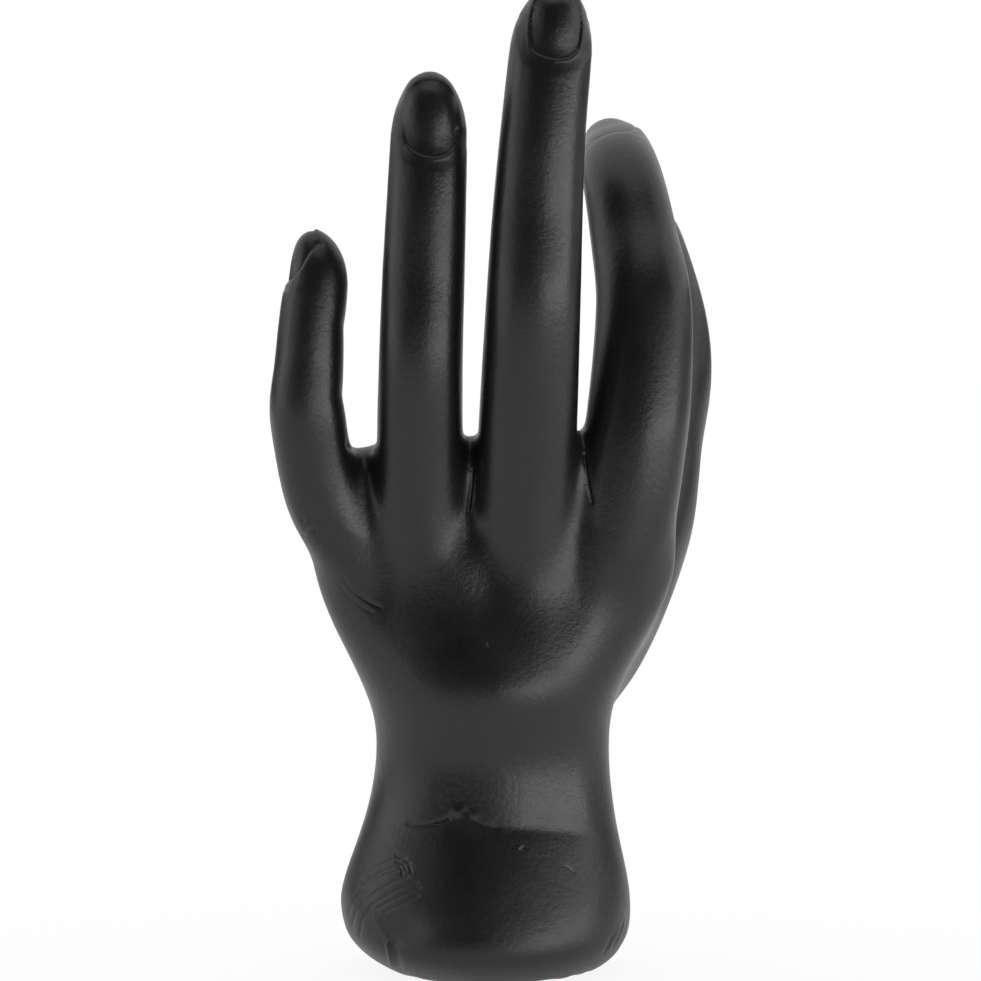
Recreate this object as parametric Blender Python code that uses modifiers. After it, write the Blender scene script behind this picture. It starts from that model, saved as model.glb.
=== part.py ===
"""Hand-shaped ring and jewellery stand, cast in one piece.

A left hand rises from a bell-shaped wrist. Its back faces -Y, its thumb side is at +X
and its fingers point up. Three fingers stand free to take rings. The forefinger bends
over the palm side until its tip meets the thumb, so that the two close a loop.

The casting is made as a sculptor builds one up. The wrist with the palm and the five
digits are lofted, and lumps fill the heel of the palm, the ball of the thumb and the
webs. All are fused, smoothed where they meet and then worked over with strokes:
knuckles, hollows, creases and nails.
"""

import math

import bmesh
import bpy
import numpy as np

MM = 0.001
COLLECTION_NAME = "hand_jewelry_stand"
OBJECT_NAME = "cast_hand"

# Height of the wrist's crease above the surface that the stand stands on, in mm. The
# hand is built up from there, so that a longer wrist lifts it as a whole.
WRIST_HEIGHT = 52.0

# Satin black filled resin.
RESIN_COLOUR = (0.012, 0.012, 0.0125, 1.0)
RESIN_ROUGHNESS = 0.42

# Foot and wrist, from the foot up, in mm. Each section is: height of its centre, depth of
# its centre, rise of its palm side in degrees, reach to the little-finger side, reach to
# the thumb side, reach to the back, reach to the palm, and squareness (2 is an oval).
FOOT_SECTIONS = (
    (-1.0, 0.0, 0, 16.0, 19.6, 17.2, 16.0, 2.0),
    (0.5, 0.0, 0, 18.8, 21.7, 19.6, 17.8, 2.0),
    (2.6, 0.0, 0, 22.4, 24.5, 22.4, 20.2, 2.0),
    (5.0, 0.0, 0, 25.0, 26.0, 24.6, 21.8, 2.0),
    (7.5, 0.0, 0, 26.6, 27.1, 25.0, 22.7, 2.0),
    (13.0, 0.0, 0, 27.6, 27.3, 23.6, 23.0, 2.0),
    (18.0, 0.0, 0, 26.5, 26.6, 21.9, 21.9, 2.0),
    (23.0, 0.0, 0, 24.7, 25.5, 20.1, 20.3, 2.0),
    (27.5, 0.0, 0, 23.2, 24.6, 18.4, 19.1, 2.0),
    (29.5, 0.0, 0, 22.6, 24.3, 17.8, 18.6, 2.0),
    (34.5, 0.0, 0, 21.4, 23.6, 17.2, 17.7, 2.0),
    (41.0, 0.0, 0, 20.7, 23.2, 16.8, 17.1, 2.0),
)

# The palm's sections, with their heights above the wrist's crease.
PALM_SECTIONS = (
    (-5.5, 0.0, 0, 21.0, 23.5, 17.8, 17.2, 2.0),
    (0.0, 0.0, 2, 22.6, 24.7, 19.4, 17.4, 1.95),
    (5.0, 0.0, 6, 24.9, 27.2, 19.5, 17.2, 1.9),
    (10.0, 0.0, 10, 27.5, 29.8, 18.6, 16.2, 1.85),
    (17.5, -0.6, 18, 31.0, 34.0, 16.6, 14.4, 1.85),
    (25.0, -1.6, 26, 33.0, 36.3, 14.4, 11.8, 1.9),
    (32.0, -2.4, 30, 32.6, 35.8, 12.8, 9.8, 2.1),
    (38.0, -2.6, 32, 30.4, 33.6, 9.4, 8.2, 2.2),
    (42.5, -2.6, 34, 27.0, 30.0, 5.2, 5.8, 2.3),
    (45.5, -2.4, 36, 22.0, 25.0, 2.2, 2.8, 2.2),
)

# Digits, in mm and degrees. "start" is the end that lies deep in the palm, with its
# height above the crease, and "start_size" its half width, back depth and pad depth.
# Each row then runs on to the next landmark: length, lean to the thumb side, tilt to the
# palm side, half width, back depth and pad depth there. "turn" rolls the digit so that
# its nail looks to the little-finger side, "cap" is the length of the rounded end and
# "nail" its nail: distance of the nail fold from the tip, half width, and how far the
# fold's arc dips. "meets" names the digit that this one closes on, and how far its end
# lies from the other's end: the digit is drawn over to that place, more and more
# towards its end.
DIGITS = {
    "little": {
        "start": (-16.3, -1.0, 4.0),
        "start_size": (6.0, 6.0, 6.5),
        "rows": (
            (22.5, -19.0, -9.0, 7.0, 7.0, 8.6),  # knuckle
            (14.0, -29.5, -11.0, 7.2, 7.3, 7.8),
            (16.5, -9.0, -8.5, 7.0, 7.3, 6.9),  # middle joint
            (9.0, 0.5, 1.0, 6.6, 6.4, 6.6),
            (9.0, 4.5, 5.0, 6.4, 6.2, 6.2),  # end joint
            (17.1, 5.5, 10.0, 6.2, 5.6, 6.2),
        ),
        "turn": -78.0,
        "cap": 11.5,
        "nail": (11.0, 4.2, 2.4),
    },
    "ring": {
        "start": (-10.0, -1.0, 4.0),
        "start_size": (7.0, 7.0, 7.0),
        "rows": (
            (25.0, -5.0, -10.0, 8.5, 8.2, 10.6),  # knuckle
            (19.0, -0.4, -12.0, 8.1, 7.9, 10.2),
            (17.5, 1.0, -9.0, 7.8, 8.1, 7.9),  # middle joint
            (15.0, 1.8, 1.5, 7.7, 7.1, 8.4),
            (15.0, 2.4, 3.5, 7.4, 6.9, 7.0),  # end joint
            (22.7, 2.0, 7.0, 7.0, 5.8, 6.8),
        ),
        "turn": -4.0,
        "cap": 12.5,
        "nail": (15.0, 5.4, 3.2),
    },
    "middle": {
        "start": (5.2, -1.0, 4.0),
        "start_size": (7.5, 7.5, 7.5),
        "rows": (
            (27.0, 4.0, -10.5, 9.5, 8.8, 11.4),  # knuckle
            (22.0, 2.0, -12.5, 9.2, 8.6, 11.0),
            (22.0, 2.3, -8.5, 8.8, 8.9, 8.6),  # middle joint
            (16.5, 2.7, 1.5, 8.4, 7.8, 9.2),
            (16.5, 3.8, 2.5, 7.9, 7.6, 7.8),  # end joint
            (26.3, 5.8, 6.5, 7.6, 6.3, 7.4),
        ),
        "turn": 2.0,
        "cap": 12.5,
        "nail": (13.5, 5.6, 1.8),
    },
    "fore": {
        "start": (18.3, 0.5, 4.0),
        "start_size": (7.5, 7.5, 8.0),
        "rows": (
            (25.0, 14.0, -9.0, 9.9, 9.0, 11.0),  # knuckle
            (21.0, 10.0, -3.0, 9.8, 8.9, 10.6),
            (24.0, 4.0, 13.0, 9.1, 9.4, 8.8),  # middle joint
            (14.0, -7.5, 26.0, 8.3, 7.9, 9.0),
            (14.4, -10.0, 37.0, 7.7, 7.8, 7.8),  # end joint
            (24.0, -17.0, 70.0, 6.8, 5.6, 7.2),
        ),
        "turn": -4.0,
        "cap": 11.5,
        "nail": (11.5, 5.2, 2.2),
    },
    "thumb": {
        "start": (10.8, 6.0, -6.0),
        "start_size": (8.4, 8.0, 9.5),
        "rows": (
            (18.0, 29.0, 22.0, 11.8, 12.0, 12.8),
            (24.0, 25.0, 26.0, 11.4, 10.8, 11.8),  # knuckle
            (17.0, 13.0, 22.0, 10.0, 9.5, 10.8),
            (17.0, 7.0, 17.0, 9.8, 9.9, 10.2),  # end joint
            (15.0, -9.0, 6.0, 9.3, 8.8, 10.2),
            (21.0, -17.0, -3.0, 7.9, 7.0, 8.6),
        ),
        "turn": 160.0,
        "cap": 12.5,
        "nail": (15.0, 6.4, 3.0),
        "meets": ("fore", (2.0, -4.8, -8.9)),
    },
}
PULP_LIFT = 2.6  # how far the very tip of a digit sits towards its nail
OWN_SHARE = 1.35  # how far a digit's own skin lies from its axis, in its widest reach

# Lumps of clay, in mm: centre, with its height above the crease, and reaches. The first
# two are the heel of the palm at the little-finger side and the ball of the thumb, the
# next fills the fork of thumb and palm, and the last three are the webs of skin between
# the finger roots.
LUMPS = (
    ((-13.0, 6.0, 10.0), (12.0, 11.0, 19.0)),
    ((11.0, 8.5, 9.0), (12.5, 12.5, 18.0)),
    ((22.5, 6.0, 19.0), (10.5, 13.0, 15.0)),
    ((-22.0, -2.5, 39.0), (6.0, 6.0, 8.5)),
    ((-2.0, -3.5, 41.0), (6.0, 6.0, 8.0)),
    ((18.5, -3.5, 41.5), (6.0, 6.0, 8.0)),
)

# Swellings and hollows, in mm: centre, with its height above the crease, reach across,
# reach in depth, reach in height, and how far the skin moves out.
SWELLS = (
    ((-24.5, -17.0, 25.0), (5.0, 9.0, 6.0), 0.6),
    ((-10.0, -19.0, 27.0), (5.5, 9.0, 7.0), 0.8),
    ((8.0, -20.0, 28.5), (6.0, 9.0, 7.5), 0.9),
    ((25.0, -15.0, 26.0), (6.0, 9.0, 7.0), 0.6),
    ((-18.5, -14.0, 23.0), (3.6, 9.0, 9.0), -0.9),
    ((1.2, -18.0, 23.5), (3.6, 9.0, 9.0), -1.0),
    ((16.5, -14.0, 23.0), (3.6, 9.0, 9.0), -0.9),
    ((-22.0, 4.0, 37.0), (6.0, 9.0, 6.5), 1.1),
    ((-9.0, 5.0, 38.5), (5.5, 9.0, 6.5), 1.4),
    ((8.0, 6.0, 39.0), (6.0, 9.0, 6.5), 1.5),
    ((23.0, 6.0, 37.5), (6.0, 9.0, 6.5), 1.1),
    ((1.0, 14.0, 24.0), (11.0, 14.0, 11.0), -2.6),
)

# Furrows in the skin, in mm: the side they lie on, the points (across, height above the
# crease) they pass through, half width and depth.
FURROWS = (
    ("back", ((-33.0, 36.0), (-29.5, 31.5), (-23.5, 27.5)), 1.5, 0.35),
    ("back", ((-2.4, 45.0), (-2.6, 36.0), (-3.0, 28.0)), 0.9, 0.3),
    ("back", ((18.6, 46.0), (19.0, 39.0), (20.0, 32.0)), 0.9, 0.3),
    ("palm", ((26.0, 36.0), (16.0, 34.0), (6.0, 28.0), (0.0, 19.0), (-1.5, 4.0)), 1.4, 0.4),
    ("palm", ((25.0, 37.0), (12.0, 33.0), (-4.0, 28.5), (-20.0, 19.0)), 1.4, 0.4),
    ("palm", ((-30.0, 33.0), (-18.0, 34.0), (-5.0, 37.0), (4.0, 42.0)), 1.4, 0.4),
    ("palm", ((-18.0, -4.5), (-8.0, -6.0), (6.0, -6.5), (20.0, -5.0)), 1.6, 0.3),
)

# Creases across the pads of the digits: distance from the tip in mm, and depth.
PAD_CREASES = {
    "little": ((18.0, 0.4), (31.0, 0.4)),
    "ring": ((22.5, 0.4), (40.0, 0.4)),
    "middle": ((26.5, 0.4), (46.0, 0.4)),
    "fore": ((24.0, 0.4), (40.0, 0.4)),
    "thumb": ((28.0, 0.4),),
}
PAD_CREASE_WIDTH = 1.1
PAD_FACING = 0.15

# Nails, in mm: depth of the fold round a nail, its half width, how far the plate lies
# below the fold at its root and stands clear at its free edge, how far that edge lies
# from the tip, over what length the fold runs out towards it, and how far the skin
# behind the nail still takes part. The last is how much of the skin that faces sideways
# is left out.
NAIL_FOLD_DEPTH = 0.55
NAIL_FOLD_WIDTH = 0.65
NAIL_ROOT_DROP = 0.35
NAIL_EDGE_STEP = 0.45
NAIL_FREE_EDGE = 1.8
NAIL_FOLD_FADE = 3.0
NAIL_SURROUND = 3.0
NAIL_FACING = 0.15

# Fusing and smoothing of the clay, and the facets that are kept. The finger roots are
# smoothed more, between two heights from the crease.
GRAIN = 0.7
BLEND_FACTOR = 0.5
BLEND_PASSES = 12
ROOT_BLEND_PASSES = 130
ROOT_LOW = -10.0
ROOT_HIGH = 52.0
ROOT_FADE = 7.0
KEPT_TRIANGLES = 11500

DIGIT_SIDES = 40
BODY_SIDES = 96
SPAN_STEPS = 6
CAP_STEPS = 8
DIGIT_SQUARENESS = 2.2


def clear_scene():
    """Empties the scene that Blender starts with."""
    for obj in list(bpy.data.objects):
        bpy.data.objects.remove(obj)


def smooth_rows(rows, steps):
    """Rows on a smooth curve that passes through every given row."""
    rows = np.array(rows, float)
    before = np.vstack([2 * rows[0] - rows[1], rows[:-1]])
    after = np.vstack([rows[1:], 2 * rows[-1] - rows[-2]])
    slopes = (after - before) / 2
    found = []
    for i in range(len(rows) - 1):
        for t in np.arange(steps) / steps:
            found.append(
                (2 * t**3 - 3 * t**2 + 1) * rows[i]
                + (t**3 - 2 * t**2 + t) * slopes[i]
                + (3 * t**2 - 2 * t**3) * rows[i + 1]
                + (t**3 - t**2) * slopes[i + 1]
            )
    return np.array([*found, rows[-1]])


def unit(vector):
    return vector / np.linalg.norm(vector)


def above_crease(place):
    """A place whose height is given from the wrist's crease."""
    return np.array(place, float) + (0.0, 0.0, WRIST_HEIGHT)


def rounded(angles, squareness):
    """Cosine and sine of the angles, pushed out from an oval towards a square."""
    power = 2 / squareness
    c, s = np.cos(angles), np.sin(angles)
    return np.sign(c) * np.abs(c) ** power, np.sign(s) * np.abs(s) ** power


def skin_rings(name, rings, last_point=None):
    """A closed mesh over rings of points, flat at its ends or drawn to a last point."""
    mesh = bpy.data.meshes.new(name)
    bm = bmesh.new()
    loops = [[bm.verts.new(p * MM) for p in ring] for ring in rings]
    sides = len(loops[0])
    for low, high in zip(loops, loops[1:]):
        for i in range(sides):
            j = (i + 1) % sides
            bm.faces.new((low[i], low[j], high[j], high[i]))
    bm.faces.new(loops[0][::-1])
    if last_point is None:
        bm.faces.new(loops[-1])
    else:
        tip = bm.verts.new(last_point * MM)
        for i in range(sides):
            bm.faces.new((loops[-1][i], loops[-1][(i + 1) % sides], tip))
    bmesh.ops.recalc_face_normals(bm, faces=bm.faces)
    bm.to_mesh(mesh)
    bm.free()
    obj = bpy.data.objects.new(name, mesh)
    bpy.context.scene.collection.objects.link(obj)
    return obj


def body_loft():
    """The bell-shaped wrist and the palm."""
    angles = np.linspace(0, 2 * math.pi, BODY_SIDES, endpoint=False)
    rings = []
    palm = [(height + WRIST_HEIGHT, *rest) for height, *rest in PALM_SECTIONS]
    for row in smooth_rows([*FOOT_SECTIONS, *palm], SPAN_STEPS):
        z, y, rise, little, thumb, back, palm, squareness = row
        c, s = rounded(angles, squareness)
        across = np.where(c > 0, thumb, little) * c
        depth = np.where(s > 0, palm, back) * s
        lift = math.radians(rise)
        ring = np.column_stack(
            [across, y + depth * math.cos(lift), z + depth * math.sin(lift)]
        )
        rings.append(ring)
    return skin_rings("body", rings)


def digit_landmarks(digit):
    """Rows at a digit's landmarks: place, half width, back depth and pad depth."""
    place = above_crease(digit["start"])
    rows = [(*place, *digit["start_size"])]
    for length, lean, tilt, *size in digit["rows"]:
        toward = (math.tan(math.radians(lean)), math.tan(math.radians(tilt)), 1.0)
        place = place + length * unit(np.array(toward))
        rows.append((*place, *size))
    return np.array(rows)


def digit_path(digit):
    """Dense rows along a digit, drawn over to the digit that it meets."""
    rows = digit_landmarks(digit)
    if "meets" in digit:
        other, offset = digit["meets"]
        goal = digit_landmarks(DIGITS[other])[-1, :3] + np.array(offset)
        share = np.linspace(0, 1, len(rows))
        rows[:, :3] += np.outer(share, goal - rows[-1, :3])
    return smooth_rows(rows, SPAN_STEPS)


def digit_frames(path, turn):
    """Tangent, thumbward and backward unit vectors at each row of a path."""
    tangents = np.gradient(path[:, :3], axis=0)
    frames = []
    roll = math.radians(turn)
    for tangent in tangents:
        along = unit(tangent)
        back = np.array((0.0, -1.0, 0.0))
        back = unit(back - along * back.dot(along))
        side = np.cross(back, along)
        turned_back = back * math.cos(roll) - side * math.sin(roll)
        turned_side = side * math.cos(roll) + back * math.sin(roll)
        frames.append((along, turned_side, turned_back))
    return np.array(frames)


def digit_stations(digit):
    """Rows and frames spaced for lofting, with the shrink of the rounded end."""
    path = digit_path(digit)
    frames = digit_frames(path, digit["turn"])
    steps = np.linalg.norm(np.diff(path[:, :3], axis=0), axis=1)
    reached = np.concatenate([[0], np.cumsum(steps)])
    straight = reached[-1] - digit["cap"]
    bends = np.linspace(0, math.pi / 2, CAP_STEPS, endpoint=False)
    at = np.concatenate(
        [reached[reached < straight - 0.5], straight + digit["cap"] * np.sin(bends)]
    )
    shrink = np.concatenate([np.ones(len(at) - CAP_STEPS), np.cos(bends)])
    table = np.column_stack([path, frames.reshape(len(path), -1)])
    table = np.column_stack([np.interp(at, reached, column) for column in table.T])
    return table, shrink, path[-1, :3], frames[-1]


def digit_loft(name, digit):
    """One finger or the thumb, from deep in the palm to its rounded end."""
    angles = np.linspace(0, 2 * math.pi, DIGIT_SIDES, endpoint=False)
    c, s = rounded(angles, DIGIT_SQUARENESS)
    table, shrink, tip, last_frame = digit_stations(digit)
    rings = []
    for row, scale in zip(table, shrink):
        centre, (half, back, pad) = row[:3], row[3:6] * scale
        side, backward = unit(row[9:12]), unit(row[12:15])
        middle = centre + backward * PULP_LIFT * (1 - scale)
        depth = np.where(s > 0, back, pad) * s
        rings.append(middle + np.outer(half * c, side) + np.outer(depth, backward))
    end = tip + last_frame[2] * PULP_LIFT
    return skin_rings(name, rings, last_point=end)


def flesh(name, centre, reach):
    """A rounded lump of the clay."""
    bpy.ops.mesh.primitive_uv_sphere_add(
        segments=32, ring_count=16, radius=MM, location=above_crease(centre) * MM
    )
    lump = bpy.context.active_object
    lump.name = name
    lump.scale = reach
    bpy.ops.object.transform_apply(location=False, rotation=False, scale=True)
    return lump


def evaluated_mesh(obj, name):
    """A mesh of the object as its modifiers leave it."""
    bpy.context.view_layer.update()
    graph = bpy.context.evaluated_depsgraph_get()
    mesh = bpy.data.meshes.new_from_object(obj.evaluated_get(graph))
    mesh.name = name
    return mesh


def blend_roots(clay):
    """Smooths the whole skin a little, and the palm and the finger roots more."""
    places, _ = skin_points(clay)
    height = places[:, 2] - WRIST_HEIGHT
    low = np.clip((height - ROOT_LOW) / ROOT_FADE, 0, 1)
    high = np.clip((ROOT_HIGH - height) / ROOT_FADE, 0, 1)
    roots = clay.vertex_groups.new(name="roots")
    shares = np.round(low * high, 1)
    for share in np.unique(shares):
        if share > 0:
            found = np.flatnonzero(shares == share)
            roots.add(found.tolist(), float(share), "REPLACE")
    for passes, group in ((BLEND_PASSES, ""), (ROOT_BLEND_PASSES, roots.name)):
        blend = clay.modifiers.new("blend", "SMOOTH")
        blend.factor = BLEND_FACTOR
        blend.iterations = passes
        blend.vertex_group = group
    clay.data = evaluated_mesh(clay, OBJECT_NAME)
    clay.modifiers.clear()
    clay.vertex_groups.clear()


def fuse(parts):
    """Joins the lumps into one skin and smooths the places where they meet."""
    bpy.ops.object.select_all(action="DESELECT")
    for part in parts:
        part.select_set(True)
    bpy.context.view_layer.objects.active = parts[0]
    bpy.ops.object.join()
    clay = bpy.context.active_object
    clay.name = OBJECT_NAME
    remesh = clay.modifiers.new("fuse", "REMESH")
    remesh.mode = "VOXEL"
    remesh.voxel_size = GRAIN * MM
    clay.data = evaluated_mesh(clay, OBJECT_NAME)
    clay.modifiers.clear()
    blend_roots(clay)
    return clay


def keep_facets(clay):
    """Thins the skin to the facets that the form needs and cuts the foot flat."""
    thin = clay.modifiers.new("thin", "DECIMATE")
    triangles = sum(len(p.vertices) - 2 for p in clay.data.polygons)
    thin.ratio = KEPT_TRIANGLES / triangles
    clay.data = evaluated_mesh(clay, OBJECT_NAME)
    clay.modifiers.clear()
    bm = bmesh.new()
    bm.from_mesh(clay.data)
    cut = bmesh.ops.bisect_plane(
        bm,
        geom=bm.verts[:] + bm.edges[:] + bm.faces[:],
        plane_co=(0, 0, 0),
        plane_no=(0, 0, 1),
        clear_inner=True,
    )
    rim = [g for g in cut["geom_cut"] if isinstance(g, bmesh.types.BMEdge)]
    bmesh.ops.holes_fill(bm, edges=rim, sides=0)
    bmesh.ops.triangulate(bm, faces=bm.faces[:])
    bm.to_mesh(clay.data)
    bm.free()


def skin_points(clay):
    """Places and outward directions of the skin's vertices, in mm."""
    mesh = clay.data
    places = np.empty(len(mesh.vertices) * 3, np.float32)
    mesh.vertices.foreach_get("co", places)
    outward = np.empty(len(mesh.vertices) * 3, np.float32)
    mesh.vertex_normals.foreach_get("vector", outward)
    return places.reshape(-1, 3).astype(float) / MM, outward.reshape(-1, 3).astype(float)


def move_skin(clay, places):
    """Puts the skin's vertices at the given places, in mm."""
    clay.data.vertices.foreach_set("co", (places * MM).astype(np.float32).ravel())
    clay.data.update()


def reach_to_line(points, line):
    """Distance of each 2-D point from a line through the given points."""
    nearest = np.full(len(points), np.inf)
    line = np.array(line, float)
    for start, end in zip(line, line[1:]):
        run = end - start
        share = np.clip((points - start) @ run / (run @ run), 0, 1)
        gap = points - start - np.outer(share, run)
        nearest = np.minimum(nearest, np.linalg.norm(gap, axis=1))
    return nearest


def swell_moves(places):
    """How far the swellings and hollows move each vertex outward."""
    moves = np.zeros(len(places))
    for centre, reach, height in SWELLS:
        away = (places - above_crease(centre)) / np.array(reach)
        moves += height * np.exp(-(away**2).sum(axis=1))
    return moves


def furrow_moves(places, outward):
    """How far the furrows move each vertex outward."""
    moves = np.zeros(len(places))
    seen = places[:, (0, 2)] - (0.0, WRIST_HEIGHT)
    for side, line, width, depth in FURROWS:
        facing = outward[:, 1] * (1 if side == "palm" else -1)
        near = np.exp(-((reach_to_line(seen, line) / width) ** 2))
        moves -= depth * near * np.clip(facing * 2, 0, 1)
    return moves


def own_skin(places, digit):
    """Each vertex's distance from the tip along a digit, and whether it lies on it."""
    table, _, _, _ = digit_stations(digit)
    centres = table[:, :3]
    steps = np.linalg.norm(np.diff(centres, axis=0), axis=1)
    reached = np.concatenate([[0], np.cumsum(steps)])
    best = np.full(len(places), np.inf)
    down = np.zeros(len(places))
    for centre, station, row in zip(centres, reached, table):
        away = places - centre
        gap = np.linalg.norm(away, axis=1)
        closer = gap < best
        best[closer] = gap[closer]
        along = unit(row[6:9])
        down[closer] = reached[-1] - station - away[closer] @ along
    size = table[:, 3:6].max()
    return down, best < size * OWN_SHARE


def nail_moves(places, outward, digit):
    """How far a digit's nail moves each vertex outward."""
    fold, half, dip = digit["nail"]
    _, own = own_skin(places, digit)
    _, _, tip, (along, side, back) = digit_stations(digit)
    away = places - tip
    down, across = -(away @ along), away @ side
    length = fold - NAIL_FREE_EDGE
    square = 4 - dip / 2
    root = fold - length / 2
    below = np.clip((down - root) / (length / 2), 0, None)
    ratio = (below**square + np.abs(across / half) ** square) ** (1 / square)
    inward = (1 - ratio) * half
    near = own & (down < fold + NAIL_SURROUND) & (outward @ back > NAIL_FACING)
    inside = np.clip(inward / NAIL_FOLD_WIDTH, 0, 1)
    rise = np.clip((fold - down) / length, 0, 1)
    plate = inside * (NAIL_EDGE_STEP / 2 * rise - NAIL_ROOT_DROP * (1 - rise))
    past_edge = np.clip((NAIL_FREE_EDGE - down) / NAIL_FOLD_WIDTH, 0, 1)
    plate -= inside * past_edge * NAIL_EDGE_STEP
    groove = NAIL_FOLD_DEPTH * np.exp(-((inward / NAIL_FOLD_WIDTH) ** 2))
    groove *= np.clip((down - NAIL_FREE_EDGE) / NAIL_FOLD_FADE, 0, 1)
    return np.where(near, plate - groove, 0)


def crease_moves(places, outward, digit, creases):
    """How far the creases across a digit's pads move each vertex outward."""
    down, own = own_skin(places, digit)
    _, _, _, (_, _, back) = digit_stations(digit)
    pad = np.clip(-PAD_FACING - outward @ back, 0, 1) * own
    moves = np.zeros(len(places))
    for distance, depth in creases:
        moves -= depth * pad * np.exp(-(((down - distance) / PAD_CREASE_WIDTH) ** 2))
    return moves


def work_over(clay):
    """Works knuckles, hollows, creases and nails into the skin."""
    places, outward = skin_points(clay)
    moves = swell_moves(places) + furrow_moves(places, outward)
    for name, digit in DIGITS.items():
        moves += nail_moves(places, outward, digit)
        moves += crease_moves(places, outward, digit, PAD_CREASES[name])
    move_skin(clay, places + outward * moves[:, None])


def resin():
    """The material of the casting."""
    material = bpy.data.materials.new("satin_black_resin")
    material.use_nodes = True
    surface = material.node_tree.nodes["Principled BSDF"]
    surface.inputs["Base Color"].default_value = RESIN_COLOUR
    surface.inputs["Roughness"].default_value = RESIN_ROUGHNESS
    surface.inputs["Metallic"].default_value = 0.0
    return material


def finish(clay):
    """Gives the casting its material, smooth shading and collection."""
    clay.data.materials.clear()
    clay.data.materials.append(resin())
    clay.data.shade_smooth()
    collection = bpy.data.collections.new(COLLECTION_NAME)
    bpy.context.scene.collection.children.link(collection)
    for home in list(clay.users_collection):
        home.objects.unlink(clay)
    collection.objects.link(clay)


def main():
    clear_scene()
    parts = [body_loft()]
    parts += [digit_loft(name, digit) for name, digit in DIGITS.items()]
    parts += [flesh("lump", centre, reach) for centre, reach in LUMPS]
    clay = fuse(parts)
    work_over(clay)
    keep_facets(clay)
    finish(clay)


main()
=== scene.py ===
# %% [markdown]
# # A cast hand that holds rings
# The object is one solid casting of a left hand in black resin. It stands on its flared
# wrist. This notebook dresses the plain solid of that hand: it makes the skin smooth,
# cuts the nails, creases and casting marks into it, and gives it its satin black finish.
# The first step loads the solid.

import math

import bpy
import numpy as np
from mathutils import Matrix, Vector


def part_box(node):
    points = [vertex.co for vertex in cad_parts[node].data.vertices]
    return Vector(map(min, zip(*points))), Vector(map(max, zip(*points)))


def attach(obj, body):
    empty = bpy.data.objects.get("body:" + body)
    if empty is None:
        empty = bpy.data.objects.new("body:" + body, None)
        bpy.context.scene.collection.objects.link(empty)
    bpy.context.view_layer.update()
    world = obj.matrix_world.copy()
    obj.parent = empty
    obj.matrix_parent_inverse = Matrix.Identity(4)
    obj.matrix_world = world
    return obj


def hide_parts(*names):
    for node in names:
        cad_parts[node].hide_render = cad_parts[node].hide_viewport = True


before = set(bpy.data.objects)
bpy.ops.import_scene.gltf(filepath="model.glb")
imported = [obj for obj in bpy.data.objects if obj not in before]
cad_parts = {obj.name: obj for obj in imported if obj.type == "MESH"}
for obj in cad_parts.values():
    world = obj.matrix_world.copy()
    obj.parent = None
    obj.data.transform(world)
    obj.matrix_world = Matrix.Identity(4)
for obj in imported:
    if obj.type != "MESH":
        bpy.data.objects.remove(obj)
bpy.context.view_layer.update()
MM = 0.001

low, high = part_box("cast_hand")
print("solid hand, mm:", [round(v / MM, 1) for v in (high - low)])

# %% [markdown]
# ## The camera
# A product is photographed with a long lens, so that its near parts do not swell. Here
# the lens is about 176 mm on a 36 mm wide sensor, 0.9 m away and 5.5 degrees above the
# horizon. The view cuts off the top of the longest finger and the rim of the foot.

# %% Camera
PICTURE = 981
PICTURE_SCALE = 5340.0  # picture points per metre at the hand
CAMERA_DISTANCE = 0.9
CAMERA_ELEVATION = math.radians(5.5)
CAMERA_AIM = Vector((0.00084, 0.0, 0.09028))
SENSOR = 36.0

camera_data = bpy.data.cameras.new("camera")
camera_data.sensor_width = SENSOR
camera_data.lens = SENSOR * CAMERA_DISTANCE * PICTURE_SCALE / PICTURE
camera = bpy.data.objects.new("camera", camera_data)
bpy.context.scene.collection.objects.link(camera)
toward_camera = Vector((0, -math.cos(CAMERA_ELEVATION), math.sin(CAMERA_ELEVATION)))
camera.location = CAMERA_AIM + toward_camera * CAMERA_DISTANCE
camera.rotation_euler = (-toward_camera).to_track_quat("-Z", "Y").to_euler()
bpy.context.scene.camera = camera
bpy.context.scene.view_settings.view_transform = "Standard"
print("lens, mm:", round(camera_data.lens, 1))

# %% [markdown]
# ## Small helpers
# Colours are written as the hex values that a paint program shows, and turned into the
# linear values that a shader works with. One function adds a node to a material, sets
# what it is given and links it up.


# %% Colour and node helpers
def linear(hex_colour):
    """A linear colour from an sRGB hex value such as 1a1a1b."""
    found = []
    for i in (0, 2, 4):
        value = int(hex_colour[i : i + 2], 16) / 255
        found.append(value / 12.92 if value <= 0.04045 else ((value + 0.055) / 1.055) ** 2.4)
    return (*found, 1.0)


def add_node(tree, kind, settings=None, inputs=None, links=None):
    """Adds a node with its settings and input values, and links sockets into it."""
    node = tree.nodes.new(kind)
    for name, value in (settings or {}).items():
        setattr(node, name, value)
    for name, value in (inputs or {}).items():
        node.inputs[name].default_value = value
    for name, socket in (links or {}).items():
        tree.links.new(socket, node.inputs[name])
    return node


def empty_material(name):
    """A material with nothing in it but its output."""
    material = bpy.data.materials.new(name)
    material.use_nodes = True
    material.node_tree.nodes.clear()
    return material, add_node(material.node_tree, "ShaderNodeOutputMaterial")


# %% [markdown]
# ## The studio
# A black thing shows mostly what it mirrors, so the room matters as much as the lamps.
# Behind the hand all is white. The floor is white too, and the wrist and the finger
# roots, which look down a little, mirror it. Behind the camera hangs a dark curtain,
# which keeps the parts that look straight at the camera almost black. Low dark screens
# run on from it at both sides and draw a dark edge down each finger.

# %% Floor
FLOOR_RADIUS = 6.0
PAPER_WHITE = 1.05
SEEN_SHARE = 0.85
MIRRORED_SHARE = 0.6

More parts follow.
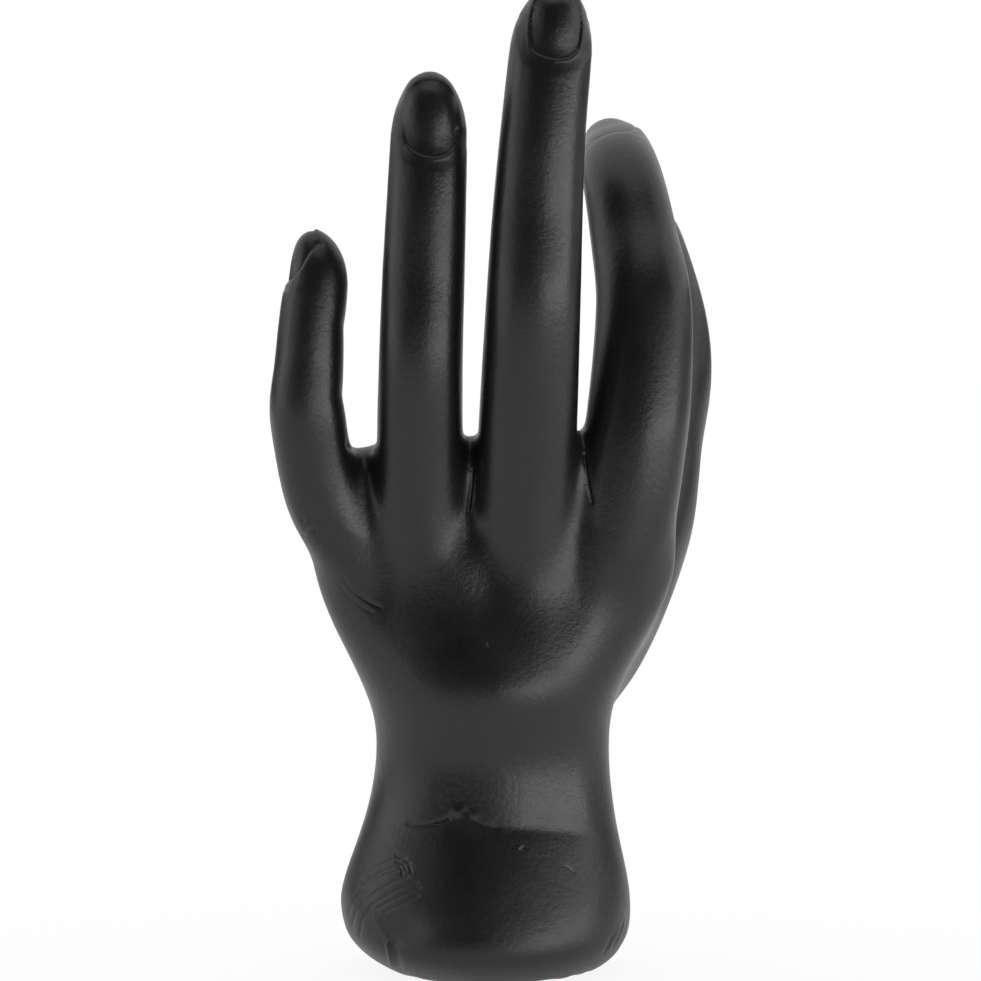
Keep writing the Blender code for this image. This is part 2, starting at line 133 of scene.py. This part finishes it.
bpy.ops.object.select_all(action="DESELECT")
bpy.ops.mesh.primitive_circle_add(vertices=96, radius=FLOOR_RADIUS, fill_type="NGON")
floor = bpy.context.active_object
floor.name = "floor"
floor.location.z = -0.0002
floor_paint, floor_output = empty_material("white_paper")
paper = floor_paint.node_tree
path = add_node(paper, "ShaderNodeLightPath")
mirrored = add_node(
    paper,
    "ShaderNodeMath",
    {"operation": "MAXIMUM"},
    links={0: path.outputs["Is Glossy Ray"], 1: path.outputs["Is Transmission Ray"]},
)
mirrored = add_node(
    paper,
    "ShaderNodeMath",
    {"operation": "MULTIPLY"},
    {1: MIRRORED_SHARE},
    {0: mirrored.outputs[0]},
)
share = add_node(
    paper,
    "ShaderNodeMath",
    {"operation": "MULTIPLY_ADD"},
    {1: SEEN_SHARE},
    {0: path.outputs["Is Camera Ray"], 2: mirrored.outputs[0]},
)
matt = add_node(paper, "ShaderNodeBsdfDiffuse", inputs={"Color": linear("f2f2f2")})
glow = add_node(
    paper, "ShaderNodeEmission", inputs={"Color": linear("ffffff"), "Strength": PAPER_WHITE}
)
mixed = add_node(
    paper,
    "ShaderNodeMixShader",
    links={0: share.outputs[0], 1: matt.outputs[0], 2: glow.outputs[0]},
)
paper.links.new(mixed.outputs[0], floor_output.inputs["Surface"])
floor.data.materials.append(floor_paint)
print("floor, m across:", 2 * FLOOR_RADIUS)

# %% White surroundings
world = bpy.data.worlds.new("white_room")
bpy.context.scene.world = world
world.use_nodes = True
room = world.node_tree
room.nodes.clear()
room_output = add_node(room, "ShaderNodeOutputWorld")
surroundings = add_node(
    room, "ShaderNodeBackground", inputs={"Color": linear("ffffff"), "Strength": 1.0}
)
room.links.new(surroundings.outputs[0], room_output.inputs["Surface"])
print("room:", world.name)

# %% Dark curtain and low screens
SCREEN_RADIUS = 1.7
CURTAIN_HEIGHT = 2.6
CURTAIN_HALF_ANGLE = 80.0
SCREEN_HEIGHT = 0.30
SCREEN_HALF_ANGLE = 156.0

cloth, cloth_output = empty_material("black_cloth")
black = add_node(
    cloth.node_tree, "ShaderNodeBsdfDiffuse", inputs={"Color": linear("202020")}
)
cloth.node_tree.links.new(black.outputs[0], cloth_output.inputs["Surface"])


def curved_screen(name, height, half_angle):
    """A black cloth that stands in an arc about the hand, on the camera's side."""
    bpy.ops.object.select_all(action="DESELECT")
    bpy.ops.mesh.primitive_cylinder_add(
        vertices=180,
        radius=SCREEN_RADIUS,
        depth=height,
        end_fill_type="NOTHING",
        location=(0, 0, height / 2),
    )
    screen = bpy.context.active_object
    screen.name = name
    bpy.ops.object.transform_apply(location=True, rotation=False, scale=False)
    bpy.ops.object.mode_set(mode="EDIT")
    bpy.ops.mesh.select_mode(type="FACE")
    bpy.ops.mesh.select_all(action="DESELECT")
    bpy.ops.object.mode_set(mode="OBJECT")
    for face in screen.data.polygons:
        turned = math.degrees(math.atan2(face.center.x, -face.center.y))
        face.select = abs(turned) > half_angle
    bpy.ops.object.mode_set(mode="EDIT")
    bpy.ops.mesh.delete(type="FACE")
    bpy.ops.object.mode_set(mode="OBJECT")
    screen.data.materials.append(cloth)
    screen.visible_camera = False
    print(name, "faces:", len(screen.data.polygons))


curved_screen("curtain", CURTAIN_HEIGHT, CURTAIN_HALF_ANGLE)
curved_screen("low_screen", SCREEN_HEIGHT, SCREEN_HALF_ANGLE)

# %% [markdown]
# Two low soft boxes give the long streaks on the fingers. The stronger one stands at the
# right and the weaker one at the left. A dim white panel stands above each of them: the
# right one lights the nails, which look up a little, and the left one greys the left
# half of the foot.

# %% Soft boxes
LAMPS = (
    # name, degrees to the right of the camera, distance, width, foot, top, radiance
    ("right_box", 50.0, 1.4, 2.0, 0.0, 0.28, 5.6),
    ("right_panel", 70.0, 1.5, 2.2, 0.36, 0.72, 0.6),
    ("left_box", -80.0, 1.2, 1.2, 0.02, 0.32, 1.35),
    ("left_panel", -68.0, 1.3, 1.4, 0.34, 0.85, 0.6),
)


def soft_box(name, turned, distance, width, foot, top, radiance):
    """A lamp that stands upright and looks at the hand."""
    data = bpy.data.lights.new(name, "AREA")
    data.shape = "RECTANGLE"
    data.size, data.size_y = width, top - foot
    data.energy = radiance * math.pi * width * (top - foot)
    lamp = bpy.data.objects.new(name, data)
    bpy.context.scene.collection.objects.link(lamp)
    angle = math.radians(turned)
    lamp.location = (
        distance * math.sin(angle),
        -distance * math.cos(angle),
        (foot + top) / 2,
    )
    lamp.rotation_euler = (math.pi / 2, 0, angle)
    lamp.visible_camera = False
    print(name, "watts:", round(data.energy, 2))


for row in LAMPS:
    soft_box(*row)

# %% [markdown]
# ## The skin
# The solid is made of flat facets. A copy of it is merged, rounded by subdivision,
# rebuilt on an even grid and smoothed, which gives a skin like the clay model that the
# mould was taken from. The even grid is what the carving needs: every stroke then finds
# points to move wherever it runs.

# %% Copy of the solid with an even skin
GRID = 0.5
SMOOTH_PASSES = 26

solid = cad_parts["cast_hand"]
bpy.ops.object.select_all(action="DESELECT")
hand = bpy.data.objects.new("resin_hand", solid.data.copy())
bpy.context.scene.collection.objects.link(hand)
hand.select_set(True)
bpy.context.view_layer.objects.active = hand


def apply_modifier(kind, **settings):
    """Adds a modifier to the hand and applies it at once."""
    modifier = hand.modifiers.new(kind.lower(), kind)
    for name, value in settings.items():
        setattr(modifier, name, value)
    bpy.ops.object.modifier_apply(modifier=modifier.name)


bpy.ops.object.mode_set(mode="EDIT")
bpy.ops.mesh.select_all(action="SELECT")
bpy.ops.mesh.remove_doubles(threshold=1e-6)
bpy.ops.object.mode_set(mode="OBJECT")
apply_modifier("SUBSURF", levels=2, render_levels=2)
apply_modifier("REMESH", mode="VOXEL", voxel_size=GRID * MM)
apply_modifier("SMOOTH", factor=0.5, iterations=SMOOTH_PASSES)
print("points on the even skin:", len(hand.data.vertices))

# %% [markdown]
# The strokes below need to know three things about each point of the skin: where it is,
# which way it looks, and where the camera sees it in the picture. A stroke that is read
# off the picture is written in picture points, 981 across, counted from the top left.


# %% Points of the skin
def skin_points():
    """Places in mm and outward directions of the hand's points."""
    count = len(hand.data.vertices)
    places = np.empty(count * 3, np.float32)
    hand.data.vertices.foreach_get("co", places)
    outward = np.empty(count * 3, np.float32)
    hand.data.vertex_normals.foreach_get("vector", outward)
    return places.reshape(-1, 3).astype(float) / MM, outward.reshape(-1, 3).astype(float)


def seen_at(places):
    """Where the camera sees each place, in picture points, and how far away it is."""
    away = places * MM - np.array(camera.location)
    ahead = np.array(-toward_camera)
    upward = np.array((0.0, math.sin(CAMERA_ELEVATION), math.cos(CAMERA_ELEVATION)))
    depth = away @ ahead
    zoom = PICTURE_SCALE * CAMERA_DISTANCE / depth
    across = PICTURE / 2 + away[:, 0] * zoom
    down = PICTURE / 2 - away @ upward * zoom
    return np.column_stack([across, down]), depth


def move_skin(moves, outward, places):
    """Moves each point along its outward direction by so many mm."""
    moved = (places + outward * moves[:, None]) * MM
    hand.data.vertices.foreach_set("co", moved.astype(np.float32).ravel())
    hand.data.update()


# %% [markdown]
# The strokes are drawn as lines through a few points. Near a line the skin sinks or
# rises, with a soft shoulder. Only skin that looks at the camera takes part, so that a
# stroke on the back of the hand leaves the palm as it is.


# %% Strokes
POINT = 1000 / PICTURE_SCALE  # mm on the hand for one picture point


def reach_to_line(points, line):
    """Distance of each point from a line through the given points."""
    nearest = np.full(len(points), np.inf)
    line = np.array(line, float)
    for start, end in zip(line, line[1:]):
        run = end - start
        share = np.clip((points - start) @ run / (run @ run), 0, 1)
        gap = points - start - np.outer(share, run)
        nearest = np.minimum(nearest, np.linalg.norm(gap, axis=1))
    return nearest


def inside_outline(points, outline):
    """Which points lie inside a closed outline."""
    inside = np.zeros(len(points), bool)
    corners = np.array(outline, float)
    for (x0, y0), (x1, y1) in zip(corners, np.roll(corners, -1, axis=0)):
        if y0 == y1:
            continue
        crossed = (points[:, 1] > y0) != (points[:, 1] > y1)
        reach = x0 + (points[:, 1] - y0) * (x1 - x0) / (y1 - y0)
        inside ^= crossed & (points[:, 0] < reach)
    return inside


def facing_camera(outward):
    """How much each point looks at the camera, from 0 to 1."""
    return np.clip((outward @ np.array(toward_camera) - 0.08) / 0.25, 0, 1)


def refine(chosen, passes=0):
    """Splits the skin once where the chosen points are, after smoothing it there."""
    bpy.ops.object.mode_set(mode="EDIT")
    bpy.ops.mesh.select_mode(type="VERT")
    bpy.ops.mesh.select_all(action="DESELECT")
    bpy.ops.object.mode_set(mode="OBJECT")
    hand.data.vertices.foreach_set("select", chosen)
    bpy.ops.object.mode_set(mode="EDIT")
    if passes:
        bpy.ops.mesh.vertices_smooth(factor=0.5, repeat=passes)
    bpy.ops.mesh.select_mode(type="FACE")
    bpy.ops.mesh.subdivide(number_cuts=1, smoothness=0)
    bpy.ops.mesh.vertices_smooth(factor=0.5, repeat=2)
    bpy.ops.object.mode_set(mode="OBJECT")
    print("points:", len(hand.data.vertices))


# %% [markdown]
# ## Nails
# Each nail is a plate that dives under a fold of skin at its root. The fold shows as a
# narrow step, and the plate rises from it towards the fingertip until it stands level
# with the skin or a little proud of it. The nails of the ring and middle finger face the
# camera, so their folds are drawn in picture points. The ring finger's shows only its
# root, because the modeller let its sides run out.

# %% Folds of the nails that face the camera
RING_FOLD = (
    (408.5, 147.5), (414, 152), (421, 155.4), (428, 157.5), (434, 158.2), (441, 157.2),
    (447, 154.6), (452, 150.8), (454.8, 146), (456, 140.5),
)
RING_NAIL = (
    *RING_FOLD, (459, 122), (458.5, 108), (455, 96), (449, 86.5), (440, 80), (430, 77.5),
    (420, 80), (411, 86.5), (405, 96), (401.5, 108), (401, 122), (404, 138),
)
MIDDLE_FOLD = (
    (529.4, 24), (529.6, 38), (530.6, 47.5), (533, 51.5), (538, 54.6), (547, 58),
    (556, 59.6), (563, 59.4), (570, 57.6), (575, 54.3), (579.2, 48.5), (581.4, 39),
    (582.6, 26),
)
MIDDLE_NAIL = (*MIDDLE_FOLD, (580, 2), (570, -9), (556, -12), (541, -8), (532, 4))
# outline, fold, depth of the step, how far the plate needs to rise again, all in mm
FACING_NAILS = (
    (RING_NAIL, RING_FOLD, 0.28, 3.2),
    (MIDDLE_NAIL, MIDDLE_FOLD, 0.30, 3.8),
)
PLATE_LIFT = 0.45  # mm that the plate stands proud near its free end
PLATE_EDGE = 3.2  # mm over which it falls off to its sides
FOLD_WALL = 0.22  # mm over which the skin drops to the plate
FOLD_LIP = 0.07  # mm that the skin swells beside the fold
LIP_PLACE, LIP_WIDTH = 0.3, 0.35  # mm outside the fold
LIFT_START, LIFT_RUN = 1.0, 10.0  # mm up the finger from the root
FINGERS_LOW = 120.0  # mm above the floor, below which no nail lies
FINGERS_FRONT = 10.0  # mm behind the wrist's middle, where the fingers' backs end

# %% Finer skin at the facing nails
def at_facing_nails(reach, with_plates):
    """The points within so many mm of a facing nail's fold, and on its plate if asked."""
    places, outward = skin_points()
    picture, _ = seen_at(places)
    zone = np.zeros(len(places), bool)
    for outline, fold, _, _ in FACING_NAILS:
        zone |= reach_to_line(picture, fold) * POINT < reach
        if with_plates:
            zone |= inside_outline(picture, outline)
    on_backs = (places[:, 2] > FINGERS_LOW) & (places[:, 1] < FINGERS_FRONT)
    return zone & on_backs & (outward[:, 1] < 0.1)


refine(at_facing_nails(2.5, with_plates=True), passes=40)
refine(at_facing_nails(0.9, with_plates=False))

# %% Cut the facing nails
places, outward = skin_points()
picture, _ = seen_at(places)
facing = facing_camera(outward) * (places[:, 1] < FINGERS_FRONT)
moves = np.zeros(len(places))
for outline, fold, depth, rise in FACING_NAILS:
    away = reach_to_line(picture, fold) * POINT
    inside = inside_outline(picture, outline)
    step = depth * np.clip(away / FOLD_WALL, 0, 1) * np.exp(-((away / rise) ** 2))
    lip = FOLD_LIP * np.exp(-(((away - LIP_PLACE) / LIP_WIDTH) ** 2))
    to_side = reach_to_line(picture, (*outline, outline[0])) * POINT
    root_row = max(row for _, row in fold)
    up = (root_row - picture[:, 1]) * POINT
    along = np.clip((up - LIFT_START) / LIFT_RUN, 0, 1)
    side = np.clip(to_side / PLATE_EDGE, 0, 1)
    level = along**2 * (3 - 2 * along) * side**2 * (3 - 2 * side)
    moves += np.where(inside, PLATE_LIFT * level - step, lip) * facing
move_skin(moves, outward, places)
print("deepest fold, mm:", round(float(moves.min()), 2))

# %% [markdown]
# The nails of the little finger, the forefinger and the thumb look away from the camera.
# They are drawn flat, in mm on the end of the digit: how far the root lies from the tip,
# the half width, how square the root is, and how far the free edge lies from the tip.

# %% Nails that look aside
# digit's end, direction along it, direction the nail looks, root, half width,
# squareness, free edge, shift sideways
SIDE_NAILS = {
    "little": (
        (-30.5, -5.2, 139.9), (0.095, 0.176, 0.98), (-0.97, -0.205, 0.131),
        11.0, 4.2, 2.6, 1.2, 0.0,
    ),
    "fore": (
        (23.4, 38.1, 156.0), (-0.102, 0.942, 0.32), (-0.352, -0.335, 0.874),
        18.0, 5.2, 3.4, 2.0, 0.8,
    ),
    "thumb": (
        (25.4, 33.3, 147.1), (-0.298, -0.058, 0.953), (0.31, 0.938, 0.154),
        15.0, 6.2, 2.8, 1.4, 0.0,
    ),
}
NAIL_WALL = 0.30  # mm over which the skin drops to the plate
NAIL_SUNK = 0.32  # mm that the plate lies below the skin at its root
NAIL_GROOVE = 0.16  # mm that the groove round the plate is deeper


def nail_view(places, nail):
    """Places seen flat on a nail: distance from the tip, sideways place and height."""
    along, looks = np.array(nail[1]), np.array(nail[2])
    along = along / np.linalg.norm(along)
    looks = looks - along * looks.dot(along)
    looks = looks / np.linalg.norm(looks)
    away = places - np.array(nail[0])
    return -(away @ along), away @ np.cross(along, looks) - nail[7], away @ looks, looks


def nail_zone(places, outward, nail, margin):
    """The points that lie on a nail or within a margin of it."""
    down, side, up, looks = nail_view(places, nail)
    zone = (down > -3) & (down < nail[3] + margin) & (np.abs(side) < nail[4] + margin)
    return zone & (outward @ looks > 0.05) & (up > 0) & (up < 10)


def nail_moves(places, outward, nail):
    """How far a nail moves each point outward, in mm."""
    _, _, _, root, half, square, free, _ = nail
    down, side, _, _ = nail_view(places, nail)
    length = root - free
    middle = root - length / 2
    below = np.clip((down - middle) / (length / 2), 0, None)
    ratio = (below**square + np.abs(side / half) ** square) ** (1 / square)
    inward = (1 - ratio) * half
    plate = 1 / (1 + np.exp(-inward / (NAIL_WALL / 4)))
    rise = np.clip((root - down) / length, 0, 1)
    fade = np.clip((down - free) / 2.5, 0, 1)
    sunk = -NAIL_SUNK * plate * (1 - 0.75 * rise)
    groove = -NAIL_GROOVE * np.exp(-((inward / NAIL_WALL) ** 2)) * fade
    edge = -0.3 * plate * np.clip((free - down) / 0.5, 0, 1)
    return np.where(nail_zone(places, outward, nail, 3.0), sunk + groove + edge, 0)


for margin, passes in ((2.0, 40), (0.8, 0)):
    places, outward = skin_points()
    zone = np.zeros(len(places), bool)
    for nail in SIDE_NAILS.values():
        zone |= nail_zone(places, outward, nail, margin)
    refine(zone, passes)
places, outward = skin_points()
moves = np.zeros(len(places))
for nail in SIDE_NAILS.values():
    moves += nail_moves(places, outward, nail)
move_skin(moves, outward, places)

# %% [markdown]
# ## Creases and casting marks
# The mould left its own marks in the skin: thin lines at the webs between the fingers, a
# broken ridge round the wrist with a small crease and a bump on it, a fan of fine
# wrinkles and a shallow dent at the left of the foot, and some pits and nicks. They are
# drawn in picture points, each with its width and its height in mm.

# %% Marks
# line, half width in picture points, height in mm: below zero is a furrow
LINES = (
    (((472.5, 470), (472, 482), (470.5, 495), (468.2, 512), (468, 540)), 1.5, -0.26),
    (((474.6, 474), (473.6, 492), (471.4, 510)), 1.2, 0.10),
    (((584.5, 455), (586, 470), (588.5, 486), (592, 503)), 1.5, -0.26),
    (((303, 535), (308, 531), (315, 530)), 2.2, -0.25),
    (((344, 578), (350, 588), (360, 597), (372, 604), (381, 608)), 1.6, -0.13),
    (((341, 588), (350, 599), (362, 608), (372, 613)), 1.8, -0.09),
    (((518, 572), (520, 563), (526, 560), (529, 566)), 1.2, -0.05),
    (((409, 824), (424, 825), (438, 823), (448, 819.5)), 2.4, -0.16),
    (((434, 822.5), (441, 822), (448, 819), (450.5, 814)), 1.3, -0.30),
    (((466, 812), (473, 820), (482, 825), (497, 828)), 2.6, -0.10),
    (((497, 828.5), (530, 829.5), (560, 832), (584, 835)), 7.0, -0.10),
    (((386.5, 944), (389, 954), (392, 967)), 1.8, 0.26),
    (((393, 945), (396, 955), (400, 969)), 3.2, -0.26),
    (((374, 911), (377, 923), (385, 938)), 2.6, 0.14),
    (((566, 866), (570, 869), (574, 872.5)), 1.1, -0.10),
    (((507, 768), (512, 779), (511, 790)), 1.6, -0.02),
    (((515, 775), (519, 788), (517, 802)), 1.6, -0.02),
    (((604, 953), (609, 944), (612, 936)), 1.3, -0.14),
    (((609, 949), (615, 939), (619, 929)), 1.3, 0.10),
    (((613, 946), (619, 936), (623, 924)), 1.4, -0.16),
    (((618, 941), (623, 931), (626, 918)), 1.3, 0.08),
    (((622, 936), (626, 925), (628, 912)), 1.4, -0.12),
)
# wrinkles of the fan, each a furrow
WRINKLES = (
    ((362, 878), (377, 866), (392, 860), (406, 857)),
    ((363, 886), (380, 872), (396, 866), (410, 863)),
    ((396, 856), (404, 859), (409, 865), (411, 872)),
    ((397, 862), (403, 864), (406, 870)),
    ((399, 867), (402, 870), (402, 874)),
    ((359, 896), (371, 883), (386, 874), (398, 871)),
    ((364, 902), (378, 890), (393, 882), (408, 877)),
    ((370, 906), (386, 896), (402, 888), (417, 883)),
    ((374, 910), (392, 900), (408, 893), (420, 888)),
    ((384, 912), (400, 905), (418, 896)),
    ((354, 902), (359, 888), (367, 877)),
    ((349, 912), (354, 896), (361, 883)),
    ((352, 925), (356, 911), (362, 900)),
    ((359, 935), (362, 920), (369, 908)),
)
WRINKLE_WIDTH = 1.5
WRINKLE_DEPTH = 0.13
# centre, reach across and down in picture points, height in mm
SPOTS = (
    ((403, 931), (24, 15), -0.85),
    ((456.5, 811.5), (5.0, 4.5), 0.26),
    ((473, 815), (5.5, 4.0), 0.15),
    ((522.5, 849), (1.9, 1.9), -0.30),
    ((519.6, 847.6), (1.5, 1.5), 0.10),
    ((302.8, 520.5), (1.8, 1.8), -0.34),
    ((488, 645), (1.6, 1.6), -0.18),
    ((350, 445), (4.0, 5.0), -0.35),
    ((393, 788), (13, 34), -0.30),
    ((598, 868), (3.0, 2.2), -0.10),
)
FLUSH = 25.0  # mm behind the foremost skin, where a stroke reaches no further
CELL = 12  # picture points across one cell, in which the foremost skin is looked up

# %% Finer skin under the marks
def behind_front(picture, depth):
    """How far each point lies behind the foremost skin of its part of the picture."""
    last = PICTURE // CELL
    column = np.clip((picture[:, 0] / CELL).astype(int), 0, last)
    row = np.clip((picture[:, 1] / CELL).astype(int), 0, last)
    cell = column * (last + 1) + row
    front = np.full((last + 1) ** 2, np.inf)
    np.minimum.at(front, cell, depth)
    return (depth - front[cell]) / MM


def mark_lines():
    """Every line and wrinkle, with its half width and height."""
    fan = [(line, WRINKLE_WIDTH, -WRINKLE_DEPTH) for line in WRINKLES]
    return [*LINES, *fan]


def near_marks(reach):
    """The points that lie within so many picture points of a line or a small spot."""
    places, outward = skin_points()
    picture, depth = seen_at(places)
    near = np.zeros(len(places), bool)
    for line, width, _ in mark_lines():
        near |= reach_to_line(picture, line) < width + reach
    for centre, spread, _ in SPOTS:
        if max(spread) < 6:
            away = (picture - np.array(centre)) / (np.array(spread) + reach)
            near |= (away**2).sum(axis=1) < 1
    return near & (facing_camera(outward) > 0) & (behind_front(picture, depth) < FLUSH)


refine(near_marks(3.0))
refine(near_marks(0.8))

# %% Cut the marks
places, outward = skin_points()
picture, depth = seen_at(places)
facing = facing_camera(outward) * (behind_front(picture, depth) < FLUSH)
moves = np.zeros(len(places))
for line, width, height in mark_lines():
    moves += height * np.exp(-((reach_to_line(picture, line) / width) ** 2))
for centre, spread, height in SPOTS:
    away = (picture - np.array(centre)) / np.array(spread)
    moves += height * np.exp(-((away**2).sum(axis=1)))
move_skin(moves * facing, outward, places)
print("deepest mark, mm:", round(float((moves * facing).min()), 2))

# %% [markdown]
# ## Thinning
# The skin now has more facets than it needs on its plain stretches. Decimation joins
# them where the skin is flat and leaves the nails and creases alone.

# %% Thin the skin
MOST_TRIANGLES = 195000

count = sum(len(p.vertices) - 2 for p in hand.data.polygons)
apply_modifier("DECIMATE", ratio=min(1.0, MOST_TRIANGLES / count))
bpy.ops.object.select_all(action="DESELECT")
hand.select_set(True)
bpy.ops.object.shade_smooth()
print("triangles:", count, "->", sum(len(p.vertices) - 2 for p in hand.data.polygons))

# %% [markdown]
# ## Black cast resin
# The hand is polyester resin, cast in a soft mould and coloured black all through. It is
# a plain non-metal, so its index of refraction is near 1.5. The skin comes out of the
# mould satin, with a fine pebbled grain that breaks its highlights into small specks.
# The real grain is too fine to show here, so it is drawn as coarse as 0.5 mm. The foot
# is a little duller than the rest.

# %% Resin
GRAIN_SIZE = 0.5  # mm from one pebble of the skin to the next
PEBBLE_HEIGHT = 0.075  # mm
CLOUD_SIZE = 9.0  # mm across a duller or shinier patch
SHINIEST, DULLEST = 0.32, 0.40  # roughness
FOOT_STARTS, FOOT_DULL_FROM = 27.0, 19.0  # mm above the floor
FOOT_DULLER_BY = 0.04

resin, resin_output = empty_material("black_cast_resin")
tree = resin.node_tree
surface = add_node(
    tree,
    "ShaderNodeBsdfPrincipled",
    inputs={"Metallic": 0.0, "IOR": 1.5},
)
tree.links.new(surface.outputs[0], resin_output.inputs["Surface"])
position = add_node(tree, "ShaderNodeTexCoord").outputs["Object"]
grain = add_node(
    tree,
    "ShaderNodeTexNoise",
    inputs={"Scale": 1 / (GRAIN_SIZE * MM) / 2, "Detail": 2.0, "Roughness": 0.6},
    links={"Vector": position},
)
cloud = add_node(
    tree,
    "ShaderNodeTexNoise",
    inputs={"Scale": 1 / (CLOUD_SIZE * MM), "Detail": 3.0, "Roughness": 0.55},
    links={"Vector": position},
)
tint = add_node(
    tree,
    "ShaderNodeMix",
    {"data_type": "RGBA"},
    {6: linear("121213"), 7: linear("1a1a1b")},
    {0: cloud.outputs["Fac"]},
)
tree.links.new(tint.outputs[2], surface.inputs["Base Color"])
satin = add_node(
    tree,
    "ShaderNodeMapRange",
    inputs={"From Min": 0.3, "From Max": 0.7, "To Min": SHINIEST, "To Max": DULLEST},
    links={"Value": cloud.outputs["Fac"]},
)
height = add_node(tree, "ShaderNodeSeparateXYZ", links={"Vector": position})
dull_foot = add_node(
    tree,
    "ShaderNodeMapRange",
    inputs={
        "From Min": FOOT_STARTS * MM,
        "From Max": FOOT_DULL_FROM * MM,
        "To Min": 0.0,
        "To Max": FOOT_DULLER_BY,
    },
    links={"Value": height.outputs["Z"]},
)
satin = add_node(
    tree,
    "ShaderNodeMath",
    {"operation": "ADD"},
    links={0: satin.outputs[0], 1: dull_foot.outputs[0]},
)
tree.links.new(satin.outputs[0], surface.inputs["Roughness"])
pebbles = add_node(
    tree,
    "ShaderNodeBump",
    inputs={"Strength": 0.8, "Distance": PEBBLE_HEIGHT * MM},
    links={"Height": grain.outputs["Fac"]},
)
tree.links.new(pebbles.outputs[0], surface.inputs["Normal"])
hand.data.materials.clear()
hand.data.materials.append(resin)
print("nodes in the resin:", len(tree.nodes))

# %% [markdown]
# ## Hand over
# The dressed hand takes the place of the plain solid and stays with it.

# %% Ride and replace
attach(hand, "root")
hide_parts("cast_hand")
